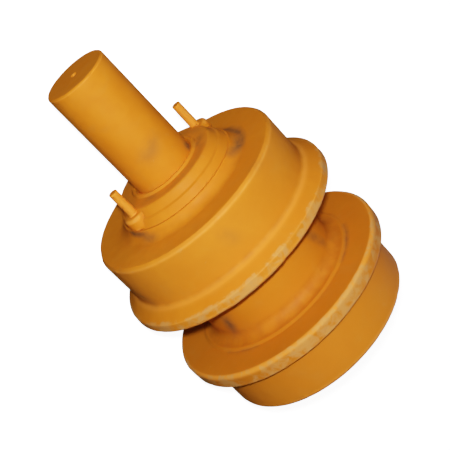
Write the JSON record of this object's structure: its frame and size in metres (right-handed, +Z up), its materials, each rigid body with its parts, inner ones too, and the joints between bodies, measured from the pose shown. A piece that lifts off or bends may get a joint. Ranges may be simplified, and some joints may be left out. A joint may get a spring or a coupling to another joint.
{
  "type": "track carrier roller",
  "caption": "Double-flanged crawler track roller with a waisted shell, turning on a one-sided cantilever shaft behind a pinned seal collar.",
  "frame": {"origin": "centre of the whole part's box, on the shaft's axis", "axes": "+Z up, shaft along Y with the bare stub towards -Y and the roller towards +Y, the two collar pins in the XY plane"},
  "size_m": [0.2536, 0.3816, 0.2536],
  "materials": {
    "yellow_paint": "satin orange-yellow machinery paint, scuffed on the flange lands",
    "bearing_steel": "ground bearing steel with an oil film",
    "cage_brass": "machined",
    "seal_iron": "lapped on the seal faces",
    "seal_rubber": "matt black",
    "copper_washer": "soft copper"
  },
  "bodies": {
    "shaft_assembly": {"shaft": "yellow_paint", "seal_collar": "yellow_paint", "collar_pin_1": "yellow_paint", "collar_pin_2": "yellow_paint", "collar_o_ring": "seal_rubber", "fixed_seal_ring": "seal_iron", "fixed_seal_toric": "seal_rubber", "inboard_bearing_cone": "bearing_steel", "outboard_bearing_cone": "bearing_steel", "retainer_plate": "bearing_steel", "retainer_bolt_1": "bearing_steel", "retainer_bolt_2": "bearing_steel", "retainer_bolt_3": "bearing_steel"},
    "roller": {"roller_shell": "yellow_paint", "seal_retainer": "seal_iron", "rotating_seal_ring": "seal_iron", "rotating_seal_toric": "seal_rubber", "inboard_bearing_cup": "bearing_steel", "outboard_bearing_cup": "bearing_steel", "end_cover": "yellow_paint", "cover_o_ring": "seal_rubber", "cover_bolt_1": "yellow_paint", "cover_bolt_2": "yellow_paint", "cover_bolt_3": "yellow_paint", "cover_bolt_4": "yellow_paint", "cover_bolt_5": "yellow_paint", "cover_bolt_6": "yellow_paint", "oil_plug_washer": "copper_washer", "oil_plug": "bearing_steel"},
    "inboard_roller_set": {"inboard_bearing_cage": "cage_brass", "inboard_roller_1": "bearing_steel", "inboard_roller_2": "bearing_steel", "inboard_roller_3": "bearing_steel", "inboard_roller_4": "bearing_steel", "inboard_roller_5": "bearing_steel", "inboard_roller_6": "bearing_steel", "inboard_roller_7": "bearing_steel", "inboard_roller_8": "bearing_steel", "inboard_roller_9": "bearing_steel", "inboard_roller_10": "bearing_steel", "inboard_roller_11": "bearing_steel", "inboard_roller_12": "bearing_steel", "inboard_roller_13": "bearing_steel", "inboard_roller_14": "bearing_steel"},
    "outboard_roller_set": {"outboard_bearing_cage": "cage_brass", "outboard_roller_1": "bearing_steel", "outboard_roller_2": "bearing_steel", "outboard_roller_3": "bearing_steel", "outboard_roller_4": "bearing_steel", "outboard_roller_5": "bearing_steel", "outboard_roller_6": "bearing_steel", "outboard_roller_7": "bearing_steel", "outboard_roller_8": "bearing_steel", "outboard_roller_9": "bearing_steel", "outboard_roller_10": "bearing_steel", "outboard_roller_11": "bearing_steel", "outboard_roller_12": "bearing_steel", "outboard_roller_13": "bearing_steel", "outboard_roller_14": "bearing_steel"}
  },
  "joints": [
    {"name": "roller_spin", "type": "hinge", "parent": "shaft_assembly", "child": "roller", "pos_m": [0, 0.07875, 0], "axis": [0, 1, 0], "continuous": true},
    {"name": "inboard_set_orbit", "type": "hinge", "parent": "shaft_assembly", "child": "inboard_roller_set", "pos_m": [0, 0, 0], "axis": [0, 1, 0], "continuous": true},
    {"name": "outboard_set_orbit", "type": "hinge", "parent": "shaft_assembly", "child": "outboard_roller_set", "pos_m": [0, 0.135, 0], "axis": [0, 1, 0], "continuous": true}
  ],
  "couplings": [
    {"joint": "inboard_set_orbit", "follows": "roller_spin", "ratio": 0.5813},
    {"joint": "outboard_set_orbit", "follows": "roller_spin", "ratio": 0.5789}
  ]
}
